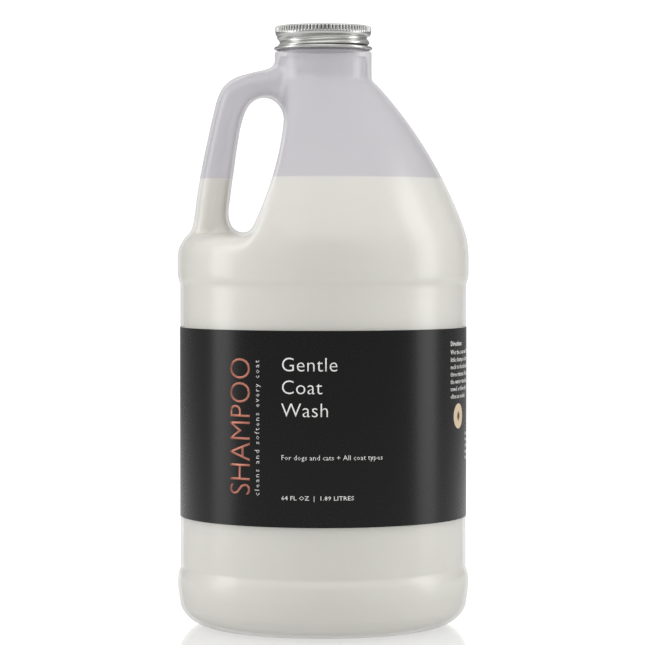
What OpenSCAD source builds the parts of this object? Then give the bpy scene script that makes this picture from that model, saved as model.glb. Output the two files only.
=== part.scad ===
// Round half-gallon jug with a moulded-in hollow handle, its wrap label, its
// contents and a lined screw cap.
// Millimetres. The origin is the centre of the base on the ground, +Z is up,
// the handle is on the -X side and the front of the label faces -Y.

/* [Jug body] */
// Radius of the recessed label panel
panel_r = 60.05; // [59.8:0.05:60.2]
// Radius of the two bumper bands above and below the panel
bumper_r = 61.15; // [61:0.05:61.5]
// Wall thickness of the body, shoulder and handle
wall_t = 1.2; // [0.9:0.1:1.4]
// Height where the panel starts, above the lower bumper
panel_bottom = 24.8; // [24:0.1:26]
// Height where the panel ends, below the upper bumper
panel_top = 142.6; // [141:0.1:143.5]
// Height where the shoulder starts to curve in
shoulder_z = 155.4; // [154:0.1:157]
// Rise of the middle of the base above the ground
push_up = 3; // [2:0.1:5]

/* [Handle] */
// Height of the ledge that the handle stands on
ledge_z = 164.2; // [163.5:0.1:165]
// Half width of the handle from front to back
handle_half_depth = 12; // [10:0.5:13]
// Half thickness of the handle where it leaves the neck
handle_half_top = 5.7; // [5:0.1:6]
// Half thickness of the handle where it meets the ledge
handle_half_foot = 7.2; // [6.5:0.1:7.5]

/* [Neck] */
// Outside radius of the plain neck below the finish
neck_r = 20.35; // [20.2:0.05:20.5]
// Height of the step where the screw finish starts
finish_z = 240.3; // [240.2:0.1:240.5]
// Height of the flat land at the top of the neck
land_z = 250; // [249.9:0.1:250.1]
// Root radius of the neck thread
thread_root_r = 17.4; // [17.25:0.05:17.55]
// Crest radius of the neck thread
thread_crest_r = 18.6; // [18.45:0.05:18.7]
// Radius of the bore through the neck
bore_r = 15.4; // [14.5:0.1:15.6]

/* [Cap] */
// Outside radius of the cap's knurled band
cap_r = 20.1; // [20:0.05:20.2]
// Sheet thickness of the cap
sheet_t = 0.3; // [0.25:0.05:0.35]
// Inside radius of the cap's skirt
skirt_r = 19.05; // [19:0.05:19.1]
// Number of flutes round the knurled band
flutes = 84; // [60:2:100]

/* [Liner] */
// Thickness of the board disc
backing_t = 0.7; // [0.6:0.05:0.8]
// Thickness of the film on the disc
facing_t = 0.2; // [0.15:0.05:0.25]

/* [Label and contents] */
// Height of the label's lower edge
label_bottom = 46.2; // [40:0.1:50]
// Height of the label's upper edge
label_top = 125.3; // [120:0.1:130]
// Thickness of the label
label_t = 0.15; // [0.1:0.05:0.2]
// Width of bare wall between the label's two ends at the back
label_seam = 6; // [2:1:12]
// Height of the liquid's surface
fill_z = 187.4; // [175:0.1:190]

/* [Hidden] */
$fn = 96;

// Standing ring and the corner above it
ring_in_r = 43.5;
ring_out_r = 46.5;
corner_across = 14.1;
corner_rise = 12;

// Lower bumper: one long arc round this centre
low_bumper_z = 18;
low_bumper_arc_r = 26;

// Shoulder: a tight arc off the upper bumper, then a long arc to the neck
near_arc_r = 32.4;
near_arc_sweep = 20.1;
far_arc_r = 182.4;
far_arc_end = 43.6;
near_arc_x = bumper_r - near_arc_r;
far_arc_x = near_arc_x + (near_arc_r - far_arc_r) * cos(near_arc_sweep);
far_arc_z = shoulder_z + (near_arc_r - far_arc_r) * sin(near_arc_sweep);

// Rounded edge of the ledge under the handle
ledge_edge_r = ledge_z - shoulder_z;

// Screw thread: 6 turns to the inch, rising anticlockwise seen from above
pitch = 25.4 / 6;
steps_per_turn = 48;
neck_thread_turns = 1.15;
neck_thread_top = 247.5;
neck_thread_start = 264;
// The cap's rib bears under the neck's thread with this much room above it
rib_rise = 0.6;
rib_turns = 0.85;

// Small gaps that keep touching pieces from sharing space
label_gap = 0.05;
liquid_gap = 0.1;

cap_top = land_z + facing_t + backing_t + sheet_t;
knurl_bottom = cap_top - 4.1;
flute_depth = 0.35;
bead_r = 0.7;
bead_x = skirt_r + 0.85;
bead_z = 242;
liner_r = skirt_r - 0.15;

// Points on an arc in a plane, from angle a to angle b
function arc(cx, cz, r, a, b, n) =
    [for (i = [0:n]) let (t = a + (b - a) * i / n) [cx + r * cos(t), cz + r * sin(t)]];

// A point on a cubic curve with four guide points
function cubic(p, t) =
    pow(1 - t, 3) * p[0] + 3 * pow(1 - t, 2) * t * p[1]
    + 3 * (1 - t) * t * t * p[2] + t * t * t * p[3];

// Direction of that curve
function cubic_way(p, t) =
    let (d = pow(1 - t, 2) * (p[1] - p[0]) + 2 * (1 - t) * t * (p[2] - p[1])
        + t * t * (p[3] - p[2])) d / norm(d);

// The recess wall beside the handle, seen from the front
recess_wall = [[-16, 216], [-16.5, 196], [-23, 178], [-30, 164]];

// Middle line of the handle in the X-Z plane: top bar and corner, then grip
bar_line = [[-10, 230.5], [-28, 228], [-37, 223], [-39.5, 213]];
grip_line = [[-39.5, 213], [-42, 203], [-46.5, 182], [-47.5, 158]];
bar_steps = 14;
grip_steps = 14;
section_points = 24;

// Profile from the base to the top of the upper bumper, moved in by t
function body_profile(t) = concat(
    [[0, push_up + t], [20, push_up + t], [ring_in_r - 2.5, push_up - 0.6 + t], [ring_in_r, t]],
    [for (i = [0:10])
        let (a = -90 + 7.8 * i)
        [ring_out_r + (corner_across - t) * cos(a), corner_rise + (corner_rise - t) * sin(a)]],
    arc(bumper_r - low_bumper_arc_r, low_bumper_z, low_bumper_arc_r - t, -13, 8, 7),
    [[panel_r + 0.35 - t, panel_bottom - 1.6], [panel_r - t, panel_bottom]],
    [[panel_r - t, panel_top], [panel_r + 0.4 - t, panel_top + 1.7]],
    [[bumper_r - t, panel_top + 4.4]]);

// Body up to the ledge that the handle stands on
module lower_body(t) {
    rotate_extrude() polygon(concat(
        body_profile(t),
        arc(bumper_r - ledge_edge_r, shoulder_z, ledge_edge_r - t, 0, 90, 10),
        [[0, ledge_z - t]]));
}

// The whole round shoulder, with nothing cut away for the handle
module shoulder(t) {
    rotate_extrude() polygon(concat(
        [[0, panel_top - 10], [panel_r - t, panel_top - 10]],
        [[panel_r - t, panel_top], [panel_r + 0.4 - t, panel_top + 1.7]],
        [[bumper_r - t, panel_top + 4.4]],
        arc(near_arc_x, shoulder_z, near_arc_r - t, 0, near_arc_sweep, 7),
        arc(far_arc_x, far_arc_z, far_arc_r - t, near_arc_sweep, far_arc_end, 14),
        [[0, far_arc_z + (far_arc_r - t) * sin(far_arc_end)]]));
}

// Everything on the body's side of the recess wall
module beside_handle(t) {
    wall = [for (i = [0:14]) cubic(recess_wall, i / 14)];
    translate([t * 1.2, 0, 0])
        rotate([90, 0, 0])
            linear_extrude(height = 3 * bumper_r, center = true)
                polygon(concat(
                    [[80, 260], [-16, 260]], wall,
                    [[-38, 157], [-47, 150], [-47, 120], [80, 120]]));
}

// One ring of the handle: an oval with flattened sides, square to the line
function handle_ring(line, t, half, depth) =
    let (p = cubic(line, t), d = cubic_way(line, t))
    [for (k = [0:section_points - 1])
        let (
            a = 360 * k / section_points,
            c = sign(cos(a)) * pow(abs(cos(a)), 0.8) * half,
            s = sign(sin(a)) * pow(abs(sin(a)), 0.8) * depth)
        [p[0] + d[1] * c, s, p[1] - d[0] * c]];

// The handle as a closed tube, moved in by t
module handle_bar(t) {
    depth = handle_half_depth - t;
    mid = (handle_half_top + handle_half_foot) / 2;
    rings = concat(
        [for (i = [0:bar_steps - 1])
            let (u = i / bar_steps)
            handle_ring(bar_line, u, handle_half_top + (mid - handle_half_top) * u - t, depth)],
        [for (i = [0:grip_steps])
            let (u = i / grip_steps)
            handle_ring(grip_line, u, mid + (handle_half_foot - mid) * u - t, depth)]);
    n = section_points;
    last = len(rings) - 1;
    points = [for (ring = rings) each ring];
    sides = [for (i = [0:last - 1], k = [0:n - 1])
        [(i + 1) * n + k, (i + 1) * n + (k + 1) % n, i * n + (k + 1) % n, i * n + k]];
    caps = [[for (k = [0:n - 1]) k], [for (k = [n - 1:-1:0]) last * n + k]];
    polyhedron(points, concat(sides, caps), convexity = 6);
}

// Outside of the jug below the finish, or its hollow when t is the wall
module jug_form(t) {
    lower_body(t);
    intersection() {
        shoulder(t);
        beside_handle(t);
    }
    handle_bar(t);
    translate([0, 0, finish_z - 16])
        cylinder(r = neck_r - 1.3 * t, h = 16 - 1.6 * t);
}

// A helical rib: width root_w at radius root_r, tip_w at tip_r, both ends tapered.
// z is the height of its middle at angle a, and it falls clockwise from there.
module helix(root_r, tip_r, root_w, tip_w, z, a, turns) {
    n = ceil(turns * steps_per_turn);
    taper = 5;
    points = [for (i = [0:n])
        let (
            grow = min(1, (min(i, n - i) + 0.4) / taper),
            w = a - 360 * i / steps_per_turn,
            h = z - pitch * i / steps_per_turn,
            tip = root_r + (tip_r - root_r) * grow)
        each [
            [root_r * cos(w), root_r * sin(w), h - root_w / 2],
            [root_r * cos(w), root_r * sin(w), h + root_w / 2],
            [tip * cos(w), tip * sin(w), h + tip_w / 2],
            [tip * cos(w), tip * sin(w), h - tip_w / 2]]];
    side = tip_r > root_r ? [0, 1, 2, 3] : [3, 2, 1, 0];
    faces = [for (i = [0:n - 1], k = [0:3])
        let (p = side[k], q = side[(k + 1) % 4])
        [4 * i + p, 4 * i + q, 4 * i + 4 + q, 4 * i + 4 + p]];
    ends = [[side[3], side[2], side[1], side[0]], [for (k = side) 4 * n + k]];
    polyhedron(points, concat(faces, ends), convexity = 8);
}

// Blow-moulded shell: body, shoulder, hollow handle, neck and thread in one
module jug() {
    color("#DAD9D5")
    difference() {
        union() {
            jug_form(0);
            translate([0, 0, finish_z - 2])
                cylinder(r = thread_root_r, h = land_z - finish_z + 2);
            helix(thread_root_r - 0.5, thread_crest_r, 3, 0.9,
                neck_thread_top, neck_thread_start, neck_thread_turns);
        }
        jug_form(wall_t);
        translate([0, 0, finish_z - 4])
            cylinder(r = bore_r, h = land_z - finish_z + 5);
    }
}

// Wrap label, with its two ends a little apart at the back
module label() {
    inside = panel_r + label_gap;
    color("#232221")
    difference() {
        translate([0, 0, label_bottom])
            cylinder(r = inside + label_t, h = label_top - label_bottom);
        translate([0, 0, label_bottom - 1])
            cylinder(r = inside, h = label_top - label_bottom + 2);
        translate([-label_seam / 2, inside - 5, label_bottom - 1])
            cube([label_seam, 10, label_top - label_bottom + 2]);
    }
}

// The contents, up to their level in the body and in the hollow handle
module liquid_fill() {
    color("#E8E5DC")
    intersection() {
        jug_form(wall_t + liquid_gap);
        translate([-80, -80, -1])
            cube([160, 160, fill_z + 1]);
    }
}

// Knurled band, seen from above
module fluted_disc(r) {
    polygon([for (i = [0:2 * flutes - 1])
        let (q = r - (i % 2) * flute_depth, a = 180 * i / flutes)
        [q * cos(a), q * sin(a)]]);
}

// Drawn aluminium cap: top, knurled band, skirt, rolled thread and curled edge
module cap_shell() {
    color("#C9CACC")
    difference() {
        union() {
            translate([0, 0, knurl_bottom])
                linear_extrude(height = cap_top - 0.6 - knurl_bottom)
                    fluted_disc(cap_r);
            translate([0, 0, cap_top - 0.6])
                cylinder(r1 = cap_r - flute_depth - 0.1, r2 = cap_r - flute_depth - 0.6, h = 0.6);
            translate([0, 0, bead_z - 0.3])
                cylinder(r = skirt_r + sheet_t, h = knurl_bottom - bead_z + 0.8);
            translate([0, 0, bead_z])
                rotate_extrude()
                    translate([bead_x, 0])
                        circle(r = bead_r, $fn = 24);
        }
        translate([0, 0, bead_z - 2])
            cylinder(r = skirt_r, h = cap_top - sheet_t - bead_z + 2);
    }
    color("#C9CACC")
        helix(skirt_r + sheet_t / 2, 17.95, 1.9, 0.7,
            neck_thread_top - pitch / 2 + rib_rise + pitch / 4, neck_thread_start + 90, rib_turns);
}

// Board disc under the cap's top
module liner_backing() {
    color("#CBB994")
        translate([0, 0, land_z + facing_t])
            cylinder(r = liner_r, h = backing_t);
}

// Film on the board, which closes on the neck's land
module liner_facing() {
    color("white")
        translate([0, 0, land_z])
            cylinder(r = liner_r, h = facing_t);
}

jug();
label();
liquid_fill();
cap_shell();
liner_backing();
liner_facing();
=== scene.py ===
"""A half-gallon shampoo jug: translucent shell, contents, printed label and screw cap.

Laid out as an add-on. Each operator builds one piece, or one group of like
pieces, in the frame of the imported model. Outlines are in millimetres.
"""

from math import atan2, cos, degrees, pi, radians, sin

import bpy
from bpy.props import FloatProperty, FloatVectorProperty, IntProperty, PointerProperty
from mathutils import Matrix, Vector


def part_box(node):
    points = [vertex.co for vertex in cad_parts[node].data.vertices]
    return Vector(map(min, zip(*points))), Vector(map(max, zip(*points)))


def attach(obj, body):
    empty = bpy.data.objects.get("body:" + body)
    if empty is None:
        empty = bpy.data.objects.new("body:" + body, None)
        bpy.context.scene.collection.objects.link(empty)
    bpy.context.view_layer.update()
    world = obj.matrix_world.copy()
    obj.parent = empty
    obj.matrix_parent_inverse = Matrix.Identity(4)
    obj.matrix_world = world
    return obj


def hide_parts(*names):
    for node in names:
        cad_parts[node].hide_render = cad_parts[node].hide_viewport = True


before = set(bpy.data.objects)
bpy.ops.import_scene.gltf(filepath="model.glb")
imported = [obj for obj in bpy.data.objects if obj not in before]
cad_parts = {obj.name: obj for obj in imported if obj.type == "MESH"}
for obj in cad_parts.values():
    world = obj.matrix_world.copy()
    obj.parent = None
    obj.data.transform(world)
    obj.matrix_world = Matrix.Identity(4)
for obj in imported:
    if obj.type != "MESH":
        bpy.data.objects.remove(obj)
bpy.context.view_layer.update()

bl_info = {
    "name": "Shampoo jug",
    "version": (1, 0, 0),
    "blender": (4, 5, 0),
    "location": "3D View > Sidebar > Jug",
    "description": "Builds a round half-gallon jug with a hollow handle, label, contents and screw cap",
    "category": "Add Mesh",
}

MM = 0.001
FULL_TURN = 2 * pi


def size(node):
    """Lowest and highest corners of a CAD node, in millimetres."""
    low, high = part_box(node)
    return low / MM, high / MM


JUG_LOW, JUG_HIGH = size("jug")
LABEL_LOW, LABEL_HIGH = size("label")

BUMPER_R = (JUG_HIGH.x - JUG_LOW.x) / 2
LAND_Z = JUG_HIGH.z
LABEL_R = (LABEL_HIGH.x - LABEL_LOW.x) / 2
PANEL_R = LABEL_R - 0.2
FILL_Z = size("liquid_fill")[1].z
CAP_TOP = size("cap_shell")[1].z
THREAD_PITCH = 25.4 / 6


def srgb(code):
    """Linear colour of an sRGB hex code."""
    channels = [int(code[i:i + 2], 16) / 255 for i in (0, 2, 4)]
    return [c / 12.92 if c <= 0.04045 else ((c + 0.055) / 1.055) ** 2.4 for c in channels]


# ---------------------------------------------------------------- settings

class JugSettings(bpy.types.PropertyGroup):
    wall: FloatProperty(
        name="Wall", description="Thickness of the moulded wall", default=1.2 * MM,
        min=0.9 * MM, max=1.5 * MM, unit="LENGTH")
    handle_depth: FloatProperty(
        name="Handle depth", description="Handle's size from front to back", default=24 * MM,
        min=20 * MM, max=26 * MM, unit="LENGTH")
    handle_rounding: FloatProperty(
        name="Handle rounding", description="Radius of the handle's long edges", default=5.4 * MM,
        min=3 * MM, max=6 * MM, unit="LENGTH")
    detail: FloatProperty(
        name="Detail", description="Voxel that fuses the shoulder, ledge and handle", default=0.9 * MM,
        min=0.7 * MM, max=2 * MM, unit="LENGTH")
    colour: FloatVectorProperty(
        name="Plastic colour", description="Natural polyethylene", subtype="COLOR", default=srgb("D7D6D9"))
    # painted light: the plastic's colour below the fill line, brighter and warmer for the light the cream
    # sends back through the wall
    painted_cream_light: FloatVectorProperty(
        name="Wetted colour", description="Plastic with the contents behind it", subtype="COLOR",
        default=srgb("F5F5EF"))
    contents: FloatVectorProperty(
        name="Contents colour", description="Cream shampoo", subtype="COLOR", default=srgb("F5F8EC"))


class LabelSettings(bpy.types.PropertyGroup):
    film: FloatVectorProperty(
        name="Film colour", description="Black label film", subtype="COLOR", default=srgb("161515"))
    ink: FloatVectorProperty(
        name="Ink colour", description="White print", subtype="COLOR", default=srgb("F2F1EF"))
    foil: FloatVectorProperty(
        name="Foil colour", description="Copper foil", subtype="COLOR", default=srgb("B27565"))
    badge: FloatVectorProperty(
        name="Badge colour", description="Printed round badge", subtype="COLOR", default=srgb("D8C3A4"))


class CapSettings(bpy.types.PropertyGroup):
    flutes: IntProperty(
        name="Flutes", description="Flutes round the knurled band", default=84, min=60, max=100)
    sheet: FloatProperty(
        name="Sheet", description="Thickness of the drawn sheet", default=0.3 * MM,
        min=0.2 * MM, max=0.4 * MM, unit="LENGTH")
    colour: FloatVectorProperty(
        name="Metal colour", description="Bare aluminium", subtype="COLOR", default=srgb("C8C8C5"))


class StageSettings(bpy.types.PropertyGroup):
    camera_distance: FloatProperty(
        name="Camera distance", description="From the jug's axis to the lens", default=1.2,
        min=0.5, max=3, unit="LENGTH")
    camera_height: FloatProperty(
        name="Camera height", description="Lens above the ground", default=0.16,
        min=0, max=1, unit="LENGTH")
    light: FloatProperty(
        name="Light", description="Strength of the soft boxes", default=1.0, min=0.1, max=5)


# ---------------------------------------------------------------- modelling helpers

def start(name, add, **settings):
    """Adds one primitive with nothing else selected, and names it."""
    if bpy.context.object and bpy.context.object.mode != "OBJECT":
        bpy.ops.object.mode_set(mode="OBJECT")
    bpy.ops.object.select_all(action="DESELECT")
    add(**settings)
    piece = bpy.context.object
    piece.name = name
    piece.data.name = name
    return piece


def choose(*pieces):
    """Selects these pieces only and makes the first one active."""
    bpy.ops.object.select_all(action="DESELECT")
    for piece in pieces:
        piece.select_set(True)
    bpy.context.view_layer.objects.active = pieces[0]


def settle(piece):
    """Puts a piece's turn, scale and place into its mesh."""
    choose(piece)
    bpy.ops.object.transform_apply(location=True, rotation=True, scale=True)


def finish_with(piece, kind, **settings):
    """Adds one modifier and applies it."""
    choose(piece)
    bpy.ops.object.modifier_add(type=kind)
    modifier = piece.modifiers[-1]
    for key, value in settings.items():
        setattr(modifier, key, value)
    bpy.ops.object.modifier_apply(modifier=modifier.name)


def combine(piece, tool, operation, material_mode="INDEX"):
    """Boolean with a tool piece, which is then removed."""
    finish_with(piece, "BOOLEAN", operation=operation, object=tool, solver="EXACT",
                material_mode=material_mode)
    bpy.data.objects.remove(tool)


def tidy_mesh(piece, gap=1e-6):
    """Merges doubles and turns all faces outwards."""
    choose(piece)
    bpy.ops.object.mode_set(mode="EDIT")
    bpy.ops.mesh.select_all(action="SELECT")
    bpy.ops.mesh.remove_doubles(threshold=gap)
    bpy.ops.mesh.normals_make_consistent(inside=False)
    bpy.ops.object.mode_set(mode="OBJECT")


def dress(piece, material, body, slot, *nodes):
    """Gives a piece its finish and its body, and hides the CAD nodes that it stands for."""
    piece.data.materials.clear()
    piece.data.materials.append(material)
    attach(piece, body)
    if nodes:
        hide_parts(*nodes)


def cut(piece, point, normal):
    """Cuts all faces along a plane, keeping both sides."""
    choose(piece)
    bpy.ops.object.mode_set(mode="EDIT")
    bpy.ops.mesh.select_all(action="SELECT")
    bpy.ops.mesh.bisect(plane_co=point, plane_no=normal)
    bpy.ops.object.mode_set(mode="OBJECT")


def arc(cx, cz, r, a, b, steps):
    """Points on an arc from angle a to angle b, in degrees."""
    angles = [radians(a + (b - a) * i / steps) for i in range(steps + 1)]
    return [(cx + r * cos(t), cz + r * sin(t)) for t in angles]


def lathe(name, outline, steps):
    """Spins an outline of (radius, height) points round the Z axis into a closed solid."""
    piece = start(name, bpy.ops.mesh.primitive_plane_add, size=1)
    bpy.ops.object.mode_set(mode="EDIT")
    bpy.ops.mesh.select_all(action="SELECT")
    bpy.ops.mesh.merge(type="CENTER")
    here = Vector((outline[0][0], 0, outline[0][1])) * MM
    bpy.ops.transform.translate(value=here)
    for r, z in outline[1:]:
        there = Vector((r, 0, z)) * MM
        bpy.ops.mesh.extrude_region_move(TRANSFORM_OT_translate={"value": there - here})
        here = there
    bpy.ops.mesh.select_all(action="SELECT")
    bpy.ops.mesh.spin(steps=steps, angle=FULL_TURN, center=(0, 0, 0), axis=(0, 0, 1))
    bpy.ops.object.mode_set(mode="OBJECT")
    tidy_mesh(piece)
    return piece


def plate(name, loops, half_depth, rounding, grow=0, stretch=1.8):
    """A flat solid in the X-Z plane with oval long edges, from closed smooth loops."""
    piece = start(name, bpy.ops.curve.primitive_bezier_circle_add)
    curve = piece.data
    curve.splines.clear()
    curve.dimensions = "2D"
    curve.resolution_u = 10
    for loop in loops:
        spline = curve.splines.new("BEZIER")
        spline.bezier_points.add(len(loop) - 1)
        spline.use_cyclic_u = True
        for point, (x, z) in zip(spline.bezier_points, loop):
            point.co = Vector((x, z, 0)) * MM
            point.handle_left_type = "AUTO"
            point.handle_right_type = "AUTO"
    curve.extrude = (half_depth / stretch - rounding) * MM
    curve.bevel_depth = rounding * MM
    curve.bevel_resolution = 5
    curve.offset = (grow - rounding) * MM
    piece.rotation_euler = (pi / 2, 0, 0)
    piece.scale.z = stretch
    choose(piece)
    bpy.ops.object.convert(target="MESH")
    settle(bpy.context.object)
    tidy_mesh(bpy.context.object)
    return bpy.context.object


def prism(name, outline, half_depth):
    """A straight solid along Y from a closed outline of (x, z) points."""
    piece = start(name, bpy.ops.mesh.primitive_circle_add, vertices=len(outline), radius=1)
    for vertex, (x, z) in zip(piece.data.vertices, outline):
        vertex.co = Vector((x, -half_depth, z)) * MM
    bpy.ops.object.mode_set(mode="EDIT")
    bpy.ops.mesh.select_all(action="SELECT")
    bpy.ops.mesh.edge_face_add()
    bpy.ops.mesh.extrude_region_move(
        TRANSFORM_OT_translate={"value": (0, 2 * half_depth * MM, 0)})
    bpy.ops.object.mode_set(mode="OBJECT")
    tidy_mesh(piece)
    return piece


# ---------------------------------------------------------------- jug shape

def cubic(p, t):
    """A point on a cubic curve with four guide points."""
    weights = ((1 - t) ** 3, 3 * t * (1 - t) ** 2, 3 * t * t * (1 - t), t ** 3)
    return tuple(sum(w * q[i] for w, q in zip(weights, p)) for i in (0, 1))


LEDGE_Z = 164.2
SHOULDER_Z = 155.4
PANEL_TOP = 142.6
FINISH_Z = 240.3
NECK_R = 20.35
BORE_R = 15.4
THREAD_ROOT_R = 17.4
THREAD_CREST_R = 18.6
# The shoulder's two arcs: a short one above the bumper, then a long one up to the neck
SHOULDER_NEAR_ARC = 32.4
SHOULDER_FAR_ARC = 182.4
SHOULDER_TURN = 20.1
# Where the handle runs into the shoulder and the ledge: (x, z, reach) of each soft fillet
HANDLE_FILLETS = ((-17, 221, 17), (-31, 163, 15))
RECESS_WALL = ((-16, 216), (-16.5, 196), (-23, 178), (-30, 164))
# Outside of the handle from the neck to the ledge, then back through the body
HANDLE_OUTSIDE = (
    (-17, 235.3), (-23.5, 233.3), (-30, 231.7), (-36.3, 229.9), (-41.2, 226.6), (-43.9, 222),
    (-45.9, 215), (-48.4, 204), (-50.9, 192), (-53, 180), (-54.2, 171), (-55.6, 165.4),
    (-58.8, 161.6), (-57, 152), (-40, 146), (-8, 152), (-4, 190), (-8, 232))
# Finger hole, clockwise from its top
HANDLE_HOLE = (
    (-24.8, 221.7), (-20.2, 220), (-17.2, 216.2), (-16.4, 210), (-17.6, 202), (-19.7, 192),
    (-22.6, 182), (-25.4, 173.6), (-28.3, 167.6), (-33.4, 164.6), (-38, 166.6), (-39.8, 171.5),
    (-39.2, 179), (-37.7, 190), (-36, 202), (-34, 212), (-31.4, 218), (-28.4, 220.8))


def low_outline(t):
    """Base, lower bumper and panel, moved in by t."""
    return [
        (0, 3 + t), (28, 2.9 + t), (40, 2.5 + t), (42, 1.9 + t), (42.9, 0.6 + t), (43.6, t), (46.4, t),
        *[(46.5 + (14.1 - t) * cos(radians(a)), 12 + (12 - t) * sin(radians(a))) for a in range(-88, -11, 7)],
        *arc(BUMPER_R - 26, 18, 26 - t, -12, 5, 7),
        (60.95 - t, 21.6), (60.62 - t, 22.8), (60.2 - t, 23.8), (59.95 - t, 24.5),
        (59.85 - t, 25), (59.9 - t, 25.6), (PANEL_R - t, 26.4), (PANEL_R - t, 60),
        (PANEL_R - t, 100), (PANEL_R - t, PANEL_TOP - 1), (PANEL_R - t, 145.5), (0, 145.5),
    ]


def upper_bumper(t):
    """From the panel out to the upper bumper."""
    return [
        (0, 141.4 + t), (59.4 - t, 141.4 + t), (59.6 - t, 142.4), (59.85 - t, 143.2),
        (60.3 - t, 144), (60.75 - t, 144.9), (61 - t, 145.9), (BUMPER_R - t, 147),
    ]


def shoulder_solid(t):
    """The round shoulder, cut back to the recess wall beside the handle, its edges well rounded."""
    near_x = BUMPER_R - SHOULDER_NEAR_ARC
    turn = radians(SHOULDER_TURN)
    far_x = near_x + (SHOULDER_NEAR_ARC - SHOULDER_FAR_ARC) * cos(turn)
    far_z = SHOULDER_Z + (SHOULDER_NEAR_ARC - SHOULDER_FAR_ARC) * sin(turn)
    far_end = 43.4
    solid = lathe("shoulder", [
        *upper_bumper(t),
        *arc(near_x, SHOULDER_Z, SHOULDER_NEAR_ARC - t, 0, SHOULDER_TURN, 8),
        *arc(far_x, far_z, SHOULDER_FAR_ARC - t, SHOULDER_TURN + 0.5, far_end, 26),
        (0, far_z + (SHOULDER_FAR_ARC - t) * sin(radians(far_end)))], 160)
    wall = [cubic(RECESS_WALL, i / 14) for i in range(15)]
    moved = [(x + 1.2 * t, z) for x, z in [
        (80, 260), (-16, 260), *wall, (-38, 157), (-47, 150), (-47, 120), (80, 120)]]
    combine(solid, prism("beside_handle", moved, 80), "INTERSECT")
    finish_with(solid, "REMESH", mode="VOXEL", voxel_size=1.2 * MM, adaptivity=0)
    finish_with(solid, "SMOOTH", factor=0.5, iterations=30)
    return solid


def fused_top(name, t, voxel, rounds):
    """Shoulder, ledge, handle and plain neck fused into one smooth form, moved in by t."""
    jug = bpy.context.scene.jug
    edge = LEDGE_Z - SHOULDER_Z
    ledge = lathe("ledge", [
        *upper_bumper(t), *arc(BUMPER_R - edge, SHOULDER_Z, edge - t, 0, 90, 10), (0, LEDGE_Z - t)], 160)
    neck = lathe("neck", [
        (0, 222), (NECK_R - 1.4 * t, 222), (NECK_R - 1.4 * t, FINISH_Z - 1.5 * t),
        (0, FINISH_Z - 1.5 * t)], 160)
    handle = plate("handle", (HANDLE_OUTSIDE, HANDLE_HOLE),
                   jug.handle_depth / MM / 2 - t, jug.handle_rounding / MM - 0.8 * t, -t)
    top = shoulder_solid(t)
    choose(top, ledge, neck, handle)
    bpy.ops.object.join()
    top = bpy.context.object
    top.name = name
    finish_with(top, "REMESH", mode="VOXEL", voxel_size=voxel * MM, adaptivity=0)
    finish_with(top, "SMOOTH", factor=0.5, iterations=rounds)
    return top


def soften(piece, spots, rounds):
    """Smooth a mesh only round spots of (x, z, reach), front and back alike, less towards their rims."""
    near = piece.vertex_groups.new(name="near")
    for vertex in piece.data.vertices:
        x = vertex.co.x / MM
        z = vertex.co.z / MM
        weight = max(1 - ((x - sx) ** 2 + (z - sz) ** 2) / reach ** 2 for sx, sz, reach in spots)
        if weight > 0:
            near.add([vertex.index], weight, "REPLACE")
    finish_with(piece, "SMOOTH", factor=0.5, iterations=rounds, vertex_group="near")
    piece.vertex_groups.clear()


def hollow(name, t, voxel):
    """The inside of the jug below its bore, moved in by t."""
    space = fused_top(name, t, voxel, 3)
    combine(space, lathe("hollow_low", low_outline(t), 128), "UNION")
    return space


# ---------------------------------------------------------------- print shapes

DIRECTIONS = (
    "Wet the coat well. Work a\nlittle shampoo in from the\nneck to the tail and wait\n"
    "three minutes. Rinse until\nthe water runs clear, then\ntowel or blow dry. Use as\noften as needed.")
CARE = "Keep away from eyes.\nKeep out of reach of\nchildren. Store at room\ntemperature, out of\nthe sun."
BACK = (
    "Ingredients\nWater, mild cleansers,\nglycerin, oat extract, aloe\njuice, wheat protein, silk\n"
    "protein, citric acid, light\nscent. For outside use\nonly. Not for people.")


def words(text, s, z, height, upward=False, length=0, weight=0.0, spacing=1.0):
    """Plain words laid flat: s is where they start round the label, z their baseline, in millimetres."""
    line = start("words", bpy.ops.object.text_add)
    line.data.body = text
    line.data.size = height / 0.73 * MM
    line.data.resolution_u = 4 if height > 2.5 else 1
    line.data.offset = weight * MM
    line.data.space_character = spacing
    line.data.space_line = 1.08
    bpy.ops.object.convert(target="MESH")
    line = bpy.context.object
    if length:
        line.scale.x = length * MM / line.dimensions.x
    line.rotation_euler = (pi / 2, -pi / 2 if upward else 0, 0)
    line.location = (s * MM, 0, z * MM)
    settle(line)
    return line


def leaf(s, z, tall):
    """A plain pointed leaf with a split down its middle, flat."""
    sides = []
    for side in (-1, 1):
        edge = [(side * (0.02 + 0.27 * sin(pi * i / 8)), -0.4 + 0.1 * i) for i in range(9)]
        sides.append(flat_face("leaf_side", [(s + x * tall, z + up * tall) for x, up in edge]))
    choose(*sides)
    bpy.ops.object.join()
    return bpy.context.object


def flat_face(name, outline):
    """One flat face in the X-Z plane from its outline."""
    face = start(name, bpy.ops.mesh.primitive_circle_add, vertices=len(outline), radius=1, fill_type="NGON")
    for vertex, (x, z) in zip(face.data.vertices, outline):
        vertex.co = Vector((x, 0, z)) * MM
    return face


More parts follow.
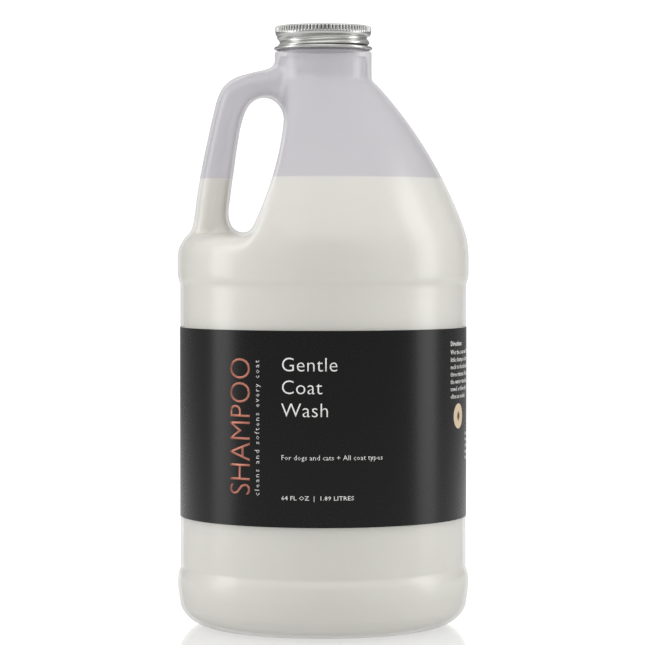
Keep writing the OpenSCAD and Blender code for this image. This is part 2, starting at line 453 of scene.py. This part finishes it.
def wrap_print(name, flats, material, lift=0.03):
    """Joins flat print, cuts it fine, bends it round the label and gives it a skin's thickness."""
    choose(*flats)
    if len(flats) > 1:
        bpy.ops.object.join()
    ink = bpy.context.object
    ink.name = name
    xs = [v.co.x for v in ink.data.vertices]
    low, high = min(xs), max(xs)
    x = low + 1.5 * MM
    while x < high:
        cut(ink, (x, 0, 0), (1, 0, 0))
        x += 1.5 * MM
    radius = (LABEL_R + lift) * MM
    finish_with(ink, "SIMPLE_DEFORM", deform_method="BEND", deform_axis="Z", angle=(high - low) / radius)
    ink.location.y = -radius
    settle(ink)
    finish_with(ink, "SOLIDIFY", thickness=0.02 * MM, offset=-1)
    dress(ink, material, "bottle", "label_film")
    return ink


# ---------------------------------------------------------------- neck and cap shapes

def thread_height(angle):
    """Height of the thread's crest at an angle in degrees, on the turn nearest the cap's middle."""
    return 244.4 + THREAD_PITCH * angle / 360


def neck_thread():
    """The raised right-hand thread: a helical ridge that dies away at both ends."""
    turns = 1.15
    steps = 120
    run_out = 9
    foot_r = 16.9
    ridge = start("thread", bpy.ops.mesh.primitive_circle_add, vertices=4, radius=1)
    section = ((foot_r, -1.7), (THREAD_CREST_R, -0.45), (THREAD_CREST_R, 0.45), (foot_r, 1.7))
    for vertex, (r, z) in zip(ridge.data.vertices, section):
        vertex.co = Vector((r, 0, z)) * MM
    finish_with(ridge, "SCREW", axis="Z", angle=FULL_TURN * turns, steps=steps, render_steps=steps,
                screw_offset=THREAD_PITCH * turns * MM, use_smooth_shade=False)
    for i, vertex in enumerate(ridge.data.vertices):
        step = i // 4
        reach = min(1, 0.1 + min(step, steps - step) / run_out)
        wide = vertex.co.xy.length / MM
        vertex.co.xy *= (foot_r + (wide - foot_r) * reach) / wide
    bpy.ops.object.mode_set(mode="EDIT")
    bpy.ops.mesh.select_all(action="SELECT")
    bpy.ops.mesh.fill_holes(sides=4)
    bpy.ops.object.mode_set(mode="OBJECT")
    tidy_mesh(ridge)
    start_angle = -150
    ridge.rotation_euler.z = radians(start_angle)
    ridge.location.z = thread_height(start_angle) * MM
    settle(ridge)
    return ridge


# ---------------------------------------------------------------- operators

class JUG_OT_shell(bpy.types.Operator):
    """Blow-moulded shell with its hollow handle and threaded neck"""
    bl_idname = "jug.shell"
    bl_label = "Jug shell"

    def execute(self, context):
        jug = context.scene.jug
        wall = jug.wall / MM
        shell = fused_top("jug_shell", 0, jug.detail / MM, 9)
        soften(shell, HANDLE_FILLETS, 80)
        combine(shell, lathe("jug_low", low_outline(0), 192), "UNION")
        finish = lathe("finish", [
            (0, 236), (NECK_R - 0.4, 236), (NECK_R, 237.5), (NECK_R, FINISH_Z - 0.2),
            (NECK_R - 0.4, FINISH_Z + 0.2), (THREAD_ROOT_R, FINISH_Z + 0.2), (THREAD_ROOT_R, 246),
            (THREAD_ROOT_R, LAND_Z - 0.35), (THREAD_ROOT_R - 0.35, LAND_Z), (0, LAND_Z)], 160)
        combine(finish, neck_thread(), "UNION")
        combine(shell, finish, "UNION")
        cavity = hollow("cavity", wall, 1.5)
        combine(cavity, lathe("bore", [
            (0, 234), (BORE_R, 234), (BORE_R, 246), (BORE_R, LAND_Z - 0.3), (BORE_R + 0.3, LAND_Z),
            (BORE_R + 0.3, LAND_Z + 2), (0, LAND_Z + 2)], 96), "UNION")
        shell.data.materials.clear()
        cavity.data.materials.clear()
        shell.data.materials.append(natural_polyethylene("polyethylene_outside", 0.25))
        cavity.data.materials.append(natural_polyethylene("polyethylene_inside", 0.0))
        combine(shell, cavity, "DIFFERENCE", material_mode="TRANSFER")
        choose(shell)
        bpy.ops.object.shade_smooth_by_angle(angle=radians(38))
        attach(shell, "bottle")
        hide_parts("jug")
        return {"FINISHED"}


class JUG_OT_contents(bpy.types.Operator):
    """Shampoo standing in the body and in the hollow handle"""
    bl_idname = "jug.contents"
    bl_label = "Contents"

    def execute(self, context):
        shampoo = hollow("shampoo", context.scene.jug.wall / MM + 0.15, 1.5)
        level = start("level", bpy.ops.mesh.primitive_cube_add, size=200 * MM,
                      location=(0, 0, (FILL_Z - 100) * MM))
        combine(shampoo, level, "INTERSECT")
        choose(shampoo)
        bpy.ops.object.shade_smooth_by_angle(angle=radians(38))
        dress(shampoo, cream_shampoo(), "bottle", "shampoo", "liquid_fill")
        return {"FINISHED"}


class JUG_OT_label(bpy.types.Operator):
    """Black wrap label with its two ends a little apart at the back"""
    bl_idname = "jug.label"
    bl_label = "Label"

    def execute(self, context):
        label = start("label_wrap", bpy.ops.mesh.primitive_cylinder_add, vertices=256, radius=LABEL_R * MM,
                      depth=(LABEL_HIGH.z - LABEL_LOW.z) * MM, end_fill_type="NOTHING",
                      location=(0, 0, (LABEL_HIGH.z + LABEL_LOW.z) / 2 * MM))
        settle(label)
        half_seam = 3 * MM
        for side in (-1, 1):
            cut(label, (side * half_seam, 0, 0), (1, 0, 0))
        bpy.ops.object.mode_set(mode="EDIT")
        bpy.ops.mesh.select_all(action="DESELECT")
        bpy.ops.object.mode_set(mode="OBJECT")
        for face in label.data.polygons:
            face.select = abs(face.center.x) < half_seam and face.center.y > 0
        bpy.ops.object.mode_set(mode="EDIT")
        bpy.ops.mesh.select_mode(type="FACE")
        bpy.ops.mesh.delete(type="FACE")
        bpy.ops.mesh.select_mode(type="VERT")
        bpy.ops.object.mode_set(mode="OBJECT")
        finish_with(label, "SOLIDIFY", thickness=0.15 * MM, offset=-1)
        choose(label)
        bpy.ops.object.shade_smooth_by_angle(angle=radians(30))
        dress(label, label_film(), "bottle", "label_film", "label")
        return {"FINISHED"}


class JUG_OT_print(bpy.types.Operator):
    """White print, copper foil word and round badge on the label"""
    bl_idname = "jug.print"
    bl_label = "Label print"

    def execute(self, context):
        white = [
            words("Gentle", -17.2, 109.0, 5.9, weight=-0.08, spacing=1.05),
            words("Coat", -17.2, 99.9, 5.9, weight=-0.08, spacing=1.05),
            words("Wash", -17.2, 90.7, 5.9, weight=-0.08, spacing=1.05),
            words("For dogs and cats + All coat types", -17.2, 73.4, 2.15, length=41.5, weight=-0.02),
            words("64 FL OZ  |  1.89 LITRES", -17.2, 57.3, 1.8, length=29.5),
            words("cleans and softens every coat", -26.6, 58.6, 2.3, upward=True, length=54.5,
                  weight=-0.03, spacing=1.35),
            words("Directions", 63.4, 118.1, 2.1, weight=0.05),
            words(DIRECTIONS, 63.4, 114.6, 2.05), words(CARE, 82, 80.5, 1.7), words(BACK, -123, 113, 2.05),
        ]
        wrap_print("print_white", white, white_ink())
        title = words("SHAMPOO", -30.8, 58.4, 10.7, upward=True, length=55, weight=-0.16)
        wrap_print("print_foil", [title], copper_foil())
        disc = start("badge_disc", bpy.ops.mesh.primitive_circle_add, vertices=64, radius=5.2 * MM,
                     fill_type="NGON", location=(71.5 * MM, 0, 89 * MM), rotation=(pi / 2, 0, 0))
        settle(disc)
        wrap_print("badge_disc", [disc], badge_ink())
        wrap_print("badge_leaf", [leaf(71.5, 89, 5)], leaf_ink(), lift=0.06)
        return {"FINISHED"}


class JUG_OT_cap(bpy.types.Operator):
    """Drawn aluminium cap: fluted band, rolled thread and curled edge"""
    bl_idname = "jug.cap"
    bl_label = "Screw cap"

    def execute(self, context):
        flutes = context.scene.cap.flutes
        sheet = context.scene.cap.sheet / MM
        top = CAP_TOP
        skirt = [(19.4, 246.8 - 0.2 * i) for i in range(22)]
        inside = [(r - sheet, z) for r, z in reversed(skirt)]
        shell = lathe("cap_shell_drawn", [
            (0, top - 0.15), (15.2, top - 0.15), (15.7, top - 0.08), (16.2, top), (19.2, top),
            (19.55, top - 0.05), (19.85, top - 0.2), (20.04, top - 0.45), (20.1, top - 0.8),
            (20.1, 249), (20.08, 248.55), (20.02, 248.15), (19.9, 247.75), (19.72, 247.35),
            (19.5, 246.98), *skirt,
            (19.46, 242.5), *arc(19.95, 241.97, 0.66, 128, -180, 16),
            *inside, (19.2, 247), (19.4, 247.4), (19.45, 248.5), (19.45, 250.2), (19.1, 250.8),
            (18.6, top - sheet), (0, top - sheet)], flutes * 4)
        for vertex in shell.data.vertices:
            place = vertex.co.xy / MM
            angle = degrees(atan2(place.y, place.x)) % 360
            z = vertex.co.z / MM
            r = place.length
            column = round(angle / 360 * flutes * 4) % 4
            if r > 19.5 and z > 248.3:
                r -= (0, 0.1, 0.6, 0.1)[column] * min(1, (top - z) / 0.7, (z - 248.3) / 0.5)
            elif 242.3 < z < 247.05 and r < 19.6:
                phase = FULL_TURN * (z - thread_height(angle)) / THREAD_PITCH
                r -= 1.15 * (1 - cos(phase)) / 2 * min(1, (z - 242.3) / 0.5, (247.05 - z) / 0.3)
            vertex.co.xy = place.normalized() * r * MM
        choose(shell)
        bpy.ops.object.shade_smooth_by_angle(angle=radians(50))
        dress(shell, drawn_aluminium(), "cap", "cap_aluminium", "cap_shell")
        return {"FINISHED"}


class JUG_OT_liner(bpy.types.Operator):
    """Finish of the board disc and the film disc inside the cap"""
    bl_idname = "jug.liner"
    bl_label = "Cap liner"

    def execute(self, context):
        for node, material in (("liner_backing", pulp_board()), ("liner_facing", liner_film())):
            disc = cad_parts[node]
            disc.data.materials.clear()
            disc.data.materials.append(material)
        return {"FINISHED"}


class JUG_OT_stage(bpy.types.Operator):
    """Pale floor and backdrop, soft light and the camera"""
    bl_idname = "jug.stage"
    bl_label = "Stage"

    def execute(self, context):
        stage = context.scene.stage
        floor = start("floor", bpy.ops.mesh.primitive_plane_add, size=4)
        floor.data.materials.append(white_acrylic())
        for name, place, width, height, power in (
                ("left_box", (-1.1, -0.1, 0.35), 0.42, 1.3, 5.0),
                ("right_box", (1.1, -0.03, 0.35), 0.42, 1.3, 5.0),
                ("top_box", (0, -0.9, 1.0), 1.4, 1.0, 3.0)):
            bpy.ops.object.light_add(type="AREA", location=place)
            lamp = context.object
            lamp.name = name
            lamp.data.shape = "RECTANGLE"
            lamp.data.size = width
            lamp.data.size_y = height
            lamp.data.energy = power * stage.light
            lamp.rotation_euler = (Vector((0, 0, 0.13)) - lamp.location).to_track_quat("-Z", "Y").to_euler()
        context.scene.world = studio_world()
        context.scene.view_settings.view_transform = "Standard"
        bpy.ops.object.camera_add(location=(-0.0003, -stage.camera_distance, stage.camera_height))
        camera = context.object
        target = Vector((-0.0003, 0, 0.127))
        camera.rotation_euler = (target - camera.location).to_track_quat("-Z", "Y").to_euler()
        camera.data.sensor_width = 36
        camera.data.lens = 36 * stage.camera_distance / 0.2714
        context.scene.camera = camera
        return {"FINISHED"}


# ---------------------------------------------------------------- materials

def add_node(tree, kind, settings=None, **links):
    """Adds a node, sets its fields and sockets, and links sockets given as outputs."""
    node = tree.nodes.new(kind)
    for key, value in (settings or {}).items():
        setattr(node, key, value)
    for key, value in links.items():
        socket = node.inputs[key.replace("_", " ")]
        if isinstance(value, bpy.types.NodeSocket):
            tree.links.new(value, socket)
        else:
            socket.default_value = value
    return node


def new_material(name):
    """An empty material, its tree and its output."""
    material = bpy.data.materials.new(name)
    material.use_nodes = True
    tree = material.node_tree
    tree.nodes.clear()
    return material, tree, tree.nodes.new("ShaderNodeOutputMaterial")


def natural_polyethylene(name, slant_shade_and_opacity):
    """Natural HDPE, blow moulded: milky and half clear, with a waxy satin skin.

    What stands behind the wall shows through it, and less so at a slant, where
    the way through is longer. Highlights are broad and soft, and the mould's
    parting line runs up both sides.
    """
    material, tree, out = new_material(name)
    place = add_node(tree, "ShaderNodeTexCoord")
    # slow waves of the blown wall, 35 mm long, under an orange peel of 3 mm
    slow = add_node(tree, "ShaderNodeTexNoise", Vector=place.outputs["Object"], Scale=1 / (35 * MM),
                    Detail=1.0)
    peel = add_node(tree, "ShaderNodeTexNoise", Vector=place.outputs["Object"], Scale=1 / (3 * MM),
                    Detail=2.0)
    axes = add_node(tree, "ShaderNodeSeparateXYZ", Vector=place.outputs["Object"])
    off_line = add_node(tree, "ShaderNodeMath", {"operation": "ABSOLUTE"}, Value=axes.outputs["Y"])
    seam = add_node(tree, "ShaderNodeMapRange", Value=off_line.outputs[0], From_Min=0.1 * MM,
                    From_Max=0.35 * MM, To_Min=1.0, To_Max=0.0)
    waves = add_node(tree, "ShaderNodeBump", Strength=0.3, Distance=0.8 * MM, Height=slow.outputs["Fac"])
    line = add_node(tree, "ShaderNodeBump", Strength=0.6, Distance=0.15 * MM, Height=seam.outputs["Result"],
                    Normal=waves.outputs["Normal"])
    skin = add_node(tree, "ShaderNodeBump", Strength=0.15, Distance=0.1 * MM, Height=peel.outputs["Fac"],
                    Normal=line.outputs["Normal"])
    # painted light: below the fill line the plastic is given a brighter, warmer colour, standing in for the
    # light the cream sends back through the wall
    painted_cream_light_mask = add_node(tree, "ShaderNodeMapRange", Value=axes.outputs["Z"], From_Min=(FILL_Z - 0.3) * MM,
                   From_Max=(FILL_Z + 0.3) * MM)
    body = add_node(tree, "ShaderNodeMix", {"data_type": "RGBA"}, Factor=painted_cream_light_mask.outputs["Result"])
    body.inputs[6].default_value = (*bpy.context.scene.jug.painted_cream_light, 1)
    body.inputs[7].default_value = (*bpy.context.scene.jug.colour, 1)
    # painted shade: at a slant the colour is multiplied towards dark grey, which darkens the silhouettes and
    # faces seen edge-on; the same slant also raises the wall's opacity further down
    slant = add_node(tree, "ShaderNodeLayerWeight", Blend=0.3)
    painted_slant_shade = add_node(tree, "ShaderNodeMapRange", Value=slant.outputs["Facing"], From_Min=0.35,
                        To_Max=slant_shade_and_opacity)
    slant_shaded_colour = add_node(tree, "ShaderNodeMix", {"data_type": "RGBA", "blend_type": "MULTIPLY"},
                    Factor=painted_slant_shade.outputs["Result"])
    tree.links.new(body.outputs[2], slant_shaded_colour.inputs[6])
    slant_shaded_colour.inputs[7].default_value = (0.2, 0.2, 0.2, 1)
    colour = slant_shaded_colour.outputs[2]
    milk = add_node(tree, "ShaderNodeBsdfDiffuse", Color=colour, Normal=skin.outputs["Normal"])
    glow = add_node(tree, "ShaderNodeBsdfTranslucent", Color=colour, Normal=skin.outputs["Normal"])
    scatter = add_node(tree, "ShaderNodeMixShader", Fac=0.4)
    tree.links.new(milk.outputs[0], scatter.inputs[1])
    tree.links.new(glow.outputs[0], scatter.inputs[2])
    # the wall counts once: its outer face carries the milk, its inner face is nearly clear
    side = add_node(tree, "ShaderNodeNewGeometry")
    deep = add_node(tree, "ShaderNodeMapRange", Value=slant.outputs["Facing"], To_Min=0.55,
                    To_Max=0.55 + 0.55 * slant_shade_and_opacity)
    milky = add_node(tree, "ShaderNodeMix", Factor=side.outputs["Backfacing"], A=deep.outputs["Result"],
                     B=0.08)
    clear = add_node(tree, "ShaderNodeBsdfTransparent", Color=(0.97, 0.96, 0.975, 1))
    wall = add_node(tree, "ShaderNodeMixShader", Fac=milky.outputs["Result"])
    tree.links.new(clear.outputs[0], wall.inputs[1])
    tree.links.new(scatter.outputs[0], wall.inputs[2])
    front = add_node(tree, "ShaderNodeMath", {"operation": "SUBTRACT"}, Value=1.0)
    tree.links.new(side.outputs["Backfacing"], front.inputs[1])
    gloss = add_node(tree, "ShaderNodeFresnel", IOR=1.6, Normal=skin.outputs["Normal"])
    gentle = add_node(tree, "ShaderNodeMath", {"operation": "MINIMUM"}, Value=gloss.outputs[0])
    gentle.inputs[1].default_value = 0.2
    shine = add_node(tree, "ShaderNodeMath", {"operation": "MULTIPLY"}, Value=gentle.outputs[0])
    tree.links.new(front.outputs[0], shine.inputs[1])
    sheen = add_node(tree, "ShaderNodeBsdfGlossy", Roughness=0.27, Normal=skin.outputs["Normal"])
    coat = add_node(tree, "ShaderNodeMixShader", Fac=shine.outputs[0])
    tree.links.new(wall.outputs[0], coat.inputs[1])
    tree.links.new(sheen.outputs[0], coat.inputs[2])
    tree.links.new(coat.outputs[0], out.inputs["Surface"])
    return material


def cream_shampoo():
    """Cream shampoo: opaque but glowing through thin parts, wet, with slow drifts of two creams."""
    material, tree, out = new_material("cream_shampoo")
    place = add_node(tree, "ShaderNodeTexCoord")
    drift = add_node(tree, "ShaderNodeTexNoise", Vector=place.outputs["Object"], Scale=1 / (45 * MM),
                     Detail=1.0)
    cream = add_node(tree, "ShaderNodeMix", {"data_type": "RGBA"}, Factor=drift.outputs["Fac"])
    cream.inputs[6].default_value = (*srgb("F7F4EE"), 1)
    cream.inputs[7].default_value = (*bpy.context.scene.jug.contents, 1)
    shader = add_node(tree, "ShaderNodeBsdfPrincipled", Base_Color=cream.outputs[2], Roughness=0.2, IOR=1.38,
                      Subsurface_Weight=0.8, Subsurface_Radius=(1.0, 0.95, 0.85), Subsurface_Scale=12 * MM)
    tree.links.new(shader.outputs[0], out.inputs["Surface"])
    return material


def grained(name, colour, roughness, metallic=0.0, shine=0.5, grain=0.4, fleck=0.04, relief=0.004):
    """A coloured surface with grain: its size and relief in millimetres, its fleck a share of the colour."""
    material, tree, out = new_material(name)
    place = add_node(tree, "ShaderNodeTexCoord")
    noise = add_node(tree, "ShaderNodeTexNoise", Vector=place.outputs["Object"], Scale=1 / (grain * MM))
    rough = add_node(tree, "ShaderNodeMapRange", Value=noise.outputs["Fac"], To_Min=roughness - 0.06,
                     To_Max=roughness + 0.06)
    tone = add_node(tree, "ShaderNodeMix", {"data_type": "RGBA"}, Factor=noise.outputs["Fac"])
    tone.inputs[6].default_value = (*[c * (1 - fleck) for c in colour], 1)
    tone.inputs[7].default_value = (*[min(1, c * (1 + fleck)) for c in colour], 1)
    bump = add_node(tree, "ShaderNodeBump", Strength=0.3, Distance=relief * MM, Height=noise.outputs["Fac"])
    shader = add_node(tree, "ShaderNodeBsdfPrincipled", Base_Color=tone.outputs[2], Metallic=metallic,
                      Roughness=rough.outputs["Result"], Specular_IOR_Level=shine,
                      Normal=bump.outputs["Normal"])
    tree.links.new(shader.outputs[0], out.inputs["Surface"])
    return material


def label_film():
    """Black polypropylene label film: satin, so each soft box shows as a broad grey band."""
    return grained("black_label_film", bpy.context.scene.label.film, 0.26, shine=0.22)


def white_ink():
    """White screen ink: matt and flat."""
    return grained("white_ink", bpy.context.scene.label.ink, 0.6)


def copper_foil():
    """Hot-stamped copper foil: a warm metal that catches the soft boxes."""
    return grained("copper_foil", bpy.context.scene.label.foil, 0.4, metallic=1.0)


def badge_ink():
    """Cream ink of the round badge."""
    return grained("badge_ink", bpy.context.scene.label.badge, 0.55)


def leaf_ink():
    """Brown ink of the badge's leaf."""
    return grained("leaf_ink", srgb("5A4330"), 0.55)


def drawn_aluminium():
    """Drawn aluminium sheet, unpainted: satin, with fine streaks round it from the draw."""
    material, tree, out = new_material("drawn_aluminium")
    place = add_node(tree, "ShaderNodeTexCoord")
    # streaks 0.15 mm high that run on round the skirt
    stretch = add_node(tree, "ShaderNodeMapping", Vector=place.outputs["Object"],
                       Scale=(1 / (9 * MM), 1 / (9 * MM), 1 / (0.15 * MM)))
    streak = add_node(tree, "ShaderNodeTexNoise", Vector=stretch.outputs["Vector"], Scale=1.0, Detail=2.0)
    rough = add_node(tree, "ShaderNodeMapRange", Value=streak.outputs["Fac"], To_Min=0.2, To_Max=0.36)
    bump = add_node(tree, "ShaderNodeBump", Strength=0.1, Distance=0.02 * MM, Height=streak.outputs["Fac"])
    # painted shade: the metal colour is darkened towards 3E3E3D where ambient occlusion finds grooves and
    # flutes within 1.5 mm
    shade = add_node(tree, "ShaderNodeAmbientOcclusion", {"samples": 8}, Distance=1.5 * MM)
    painted_groove_shade = add_node(tree, "ShaderNodeMapRange", Value=shade.outputs["AO"], From_Min=0.35, From_Max=0.85)
    metal = add_node(tree, "ShaderNodeMix", {"data_type": "RGBA"}, Factor=painted_groove_shade.outputs["Result"])
    metal.inputs[6].default_value = (*srgb("3E3E3D"), 1)
    metal.inputs[7].default_value = (*bpy.context.scene.cap.colour, 1)
    shader = add_node(tree, "ShaderNodeBsdfPrincipled", Base_Color=metal.outputs[2], Metallic=1.0,
                      Roughness=rough.outputs["Result"], Normal=bump.outputs["Normal"])
    tree.links.new(shader.outputs[0], out.inputs["Surface"])
    return material


def pulp_board():
    """Pressed pulp board: matt and fibrous, with flecks of darker fibre."""
    return grained("pulp_board", srgb("C9B891"), 0.85, grain=0.7, fleck=0.25, relief=0.05)


def liner_film():
    """Polyethylene facing film: smooth, white, slightly glossy."""
    return grained("liner_film", srgb("EDEDEB"), 0.35)


def white_acrylic():
    """Glossy white acrylic table: a faint mirror under the jug, fading out well away from it. The table also
    glows: painted light, weaker near the jug than further out.
    """
    material, tree, out = new_material("white_acrylic")
    place = add_node(tree, "ShaderNodeTexCoord")
    reach = add_node(tree, "ShaderNodeVectorMath", {"operation": "LENGTH"}, Vector=place.outputs["Object"])
    fade = add_node(tree, "ShaderNodeMapRange", Value=reach.outputs["Value"], From_Min=0.35, From_Max=1.6)
    # painted light: the table's glow, 0.42 within 0.1 m of the jug rising to 0.62 beyond 0.4 m
    glow = add_node(tree, "ShaderNodeMapRange", Value=reach.outputs["Value"], From_Min=0.1, From_Max=0.4,
                    To_Min=0.42, To_Max=0.62)
    shader = add_node(tree, "ShaderNodeBsdfPrincipled", Base_Color=(0.3, 0.3, 0.3, 1), Roughness=0.07,
                      Emission_Color=(1, 1, 1, 1), Emission_Strength=glow.outputs["Result"])
    clear = add_node(tree, "ShaderNodeBsdfTransparent")
    mix = add_node(tree, "ShaderNodeMixShader", Fac=fade.outputs["Result"])
    tree.links.new(shader.outputs[0], mix.inputs[1])
    tree.links.new(clear.outputs[0], mix.inputs[2])
    tree.links.new(mix.outputs[0], out.inputs["Surface"])
    return material


def studio_world():
    """A light tent: bright roof and back wall, dim round the camera, white where the camera looks."""
    world = bpy.data.worlds.new("studio")
    world.use_nodes = True
    tree = world.node_tree
    tree.nodes.clear()
    out = tree.nodes.new("ShaderNodeOutputWorld")
    place = add_node(tree, "ShaderNodeTexCoord")
    axes = add_node(tree, "ShaderNodeSeparateXYZ", Vector=place.outputs["Generated"])
    roof = add_node(tree, "ShaderNodeMapRange", {"interpolation_type": "SMOOTHSTEP"}, Value=axes.outputs["Z"],
                    From_Min=0.15, From_Max=0.75, To_Min=0.36, To_Max=0.95)
    rear = add_node(tree, "ShaderNodeMapRange", {"interpolation_type": "SMOOTHSTEP"}, Value=axes.outputs["Y"],
                    From_Min=-0.1, From_Max=0.5, To_Min=1.0, To_Max=0.85)
    dim = add_node(tree, "ShaderNodeMath", {"operation": "MULTIPLY"}, Value=roof.outputs["Result"])
    tree.links.new(rear.outputs["Result"], dim.inputs[1])
    wall = add_node(tree, "ShaderNodeMapRange", {"interpolation_type": "SMOOTHSTEP"}, Value=axes.outputs["Y"],
                    From_Min=0.974, From_Max=0.982, To_Min=0.0, To_Max=1.12)
    tent = add_node(tree, "ShaderNodeMath", {"operation": "MAXIMUM"})
    tree.links.new(dim.outputs[0], tent.inputs[0])
    tree.links.new(wall.outputs["Result"], tent.inputs[1])
    seen = add_node(tree, "ShaderNodeLightPath")
    strength = add_node(tree, "ShaderNodeMath", {"operation": "MAXIMUM"})
    tree.links.new(tent.outputs[0], strength.inputs[0])
    tree.links.new(seen.outputs["Is Camera Ray"], strength.inputs[1])
    light = add_node(tree, "ShaderNodeBackground", Color=(1, 1, 1, 1), Strength=strength.outputs[0])
    tree.links.new(light.outputs[0], out.inputs["Surface"])
    return world


# ---------------------------------------------------------------- registration

class JUG_PT_panel(bpy.types.Panel):
    """Lists the jug's pieces"""
    bl_idname = "JUG_PT_panel"
    bl_label = "Shampoo jug"
    bl_space_type = "VIEW_3D"
    bl_region_type = "UI"
    bl_category = "Jug"

    def draw(self, context):
        for operator in OPERATORS:
            self.layout.operator(operator.bl_idname)


SETTINGS = (("jug", JugSettings), ("label", LabelSettings), ("cap", CapSettings), ("stage", StageSettings))
OPERATORS = (
    JUG_OT_stage, JUG_OT_shell, JUG_OT_contents, JUG_OT_label, JUG_OT_print, JUG_OT_cap, JUG_OT_liner)


def register():
    for name, group in SETTINGS:
        bpy.utils.register_class(group)
        setattr(bpy.types.Scene, name, PointerProperty(type=group))
    for cls in (*OPERATORS, JUG_PT_panel):
        bpy.utils.register_class(cls)


def unregister():
    for cls in (JUG_PT_panel, *reversed(OPERATORS)):
        bpy.utils.unregister_class(cls)
    for name, group in reversed(SETTINGS):
        delattr(bpy.types.Scene, name)
        bpy.utils.unregister_class(group)


def main():
    register()
    bpy.ops.jug.stage()
    bpy.ops.jug.shell()
    bpy.ops.jug.contents()
    bpy.ops.jug.label()
    bpy.ops.jug.print()
    bpy.ops.jug.cap()
    bpy.ops.jug.liner()


if __name__ == "__main__":
    main()
